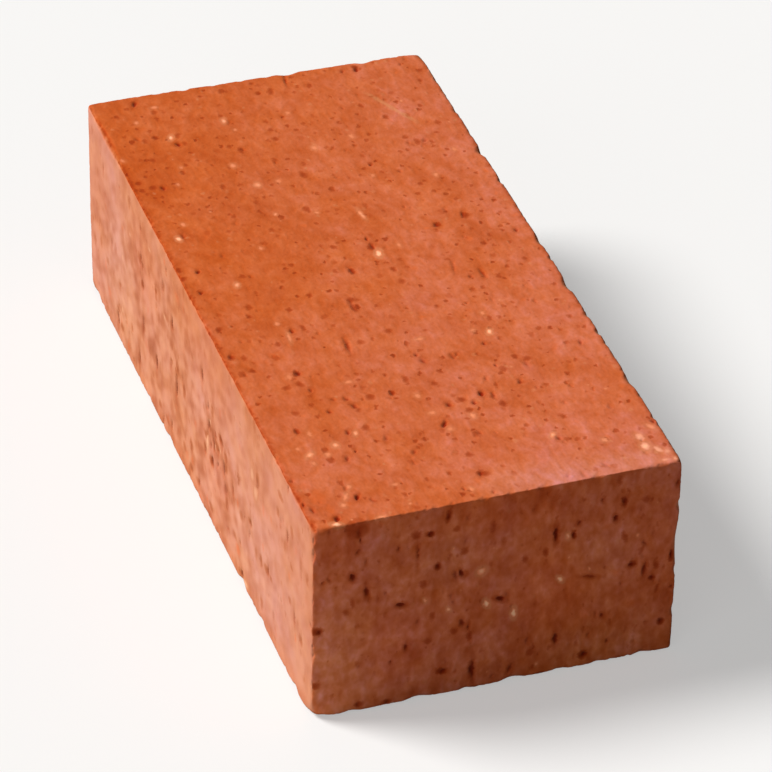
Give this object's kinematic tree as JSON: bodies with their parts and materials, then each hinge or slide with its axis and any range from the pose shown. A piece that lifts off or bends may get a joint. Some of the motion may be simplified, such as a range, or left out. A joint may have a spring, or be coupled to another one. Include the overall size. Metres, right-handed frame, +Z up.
{
  "type": "clay brick",
  "caption": "Solid rectangular fired clay brick with flat beds and lightly worn arrises, laid in mortar or stacked to build walls and paving.",
  "frame": {"origin": "centre of the bottom bed face", "axes": "+X along the length to one header face, +Y across the width to one stretcher face, +Z up through the height to the top bed face"},
  "size_m": [0.194, 0.092, 0.057],
  "materials": {
    "fired_clay": "matte"
  },
  "bodies": {
    "root": {"brick": "fired_clay"}
  },
  "joints": []
}
